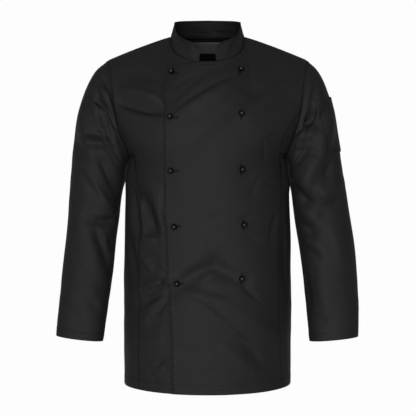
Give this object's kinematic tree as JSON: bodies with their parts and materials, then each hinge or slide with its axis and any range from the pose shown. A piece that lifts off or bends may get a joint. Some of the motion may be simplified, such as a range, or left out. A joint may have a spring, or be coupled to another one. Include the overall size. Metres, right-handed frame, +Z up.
{
  "type": "chef jacket",
  "caption": "Double-breasted long-sleeved chef jacket in black twill with a stand collar, ball studs and a sleeve pen pocket, in its hollow worn shape.",
  "frame": {"origin": "middle of the neck base, level with the points where the collar meets the shoulder seams", "axes": "+Z up the wearer's neck, -Y out of the jacket's front, +X to the wearer's left"},
  "size_m": [0.643, 0.2513, 0.7929],
  "materials": {
    "black_twill": "black cotton and polyester twill, matt with a faint sheen",
    "stud_plastic": "polished black moulded plastic",
    "label_satin": "dark grey woven satin, bare",
    "black_thread": "black polyester sewing thread"
  },
  "bodies": {
    "root": {"front_left": "black_twill", "front_right": "black_twill", "side_panel_left": "black_twill", "side_panel_right": "black_twill", "back": "black_twill", "sleeve_left": "black_twill", "sleeve_right": "black_twill", "collar": "black_twill", "pen_pocket": "black_twill", "neck_label": "label_satin", "stud_left_1": "stud_plastic", "stud_left_2": "stud_plastic", "stud_left_3": "stud_plastic", "stud_left_4": "stud_plastic", "stud_left_5": "stud_plastic", "stud_right_1": "stud_plastic", "stud_right_2": "stud_plastic", "stud_right_3": "stud_plastic", "stud_right_4": "stud_plastic", "stud_right_5": "stud_plastic"}
  },
  "joints": []
}
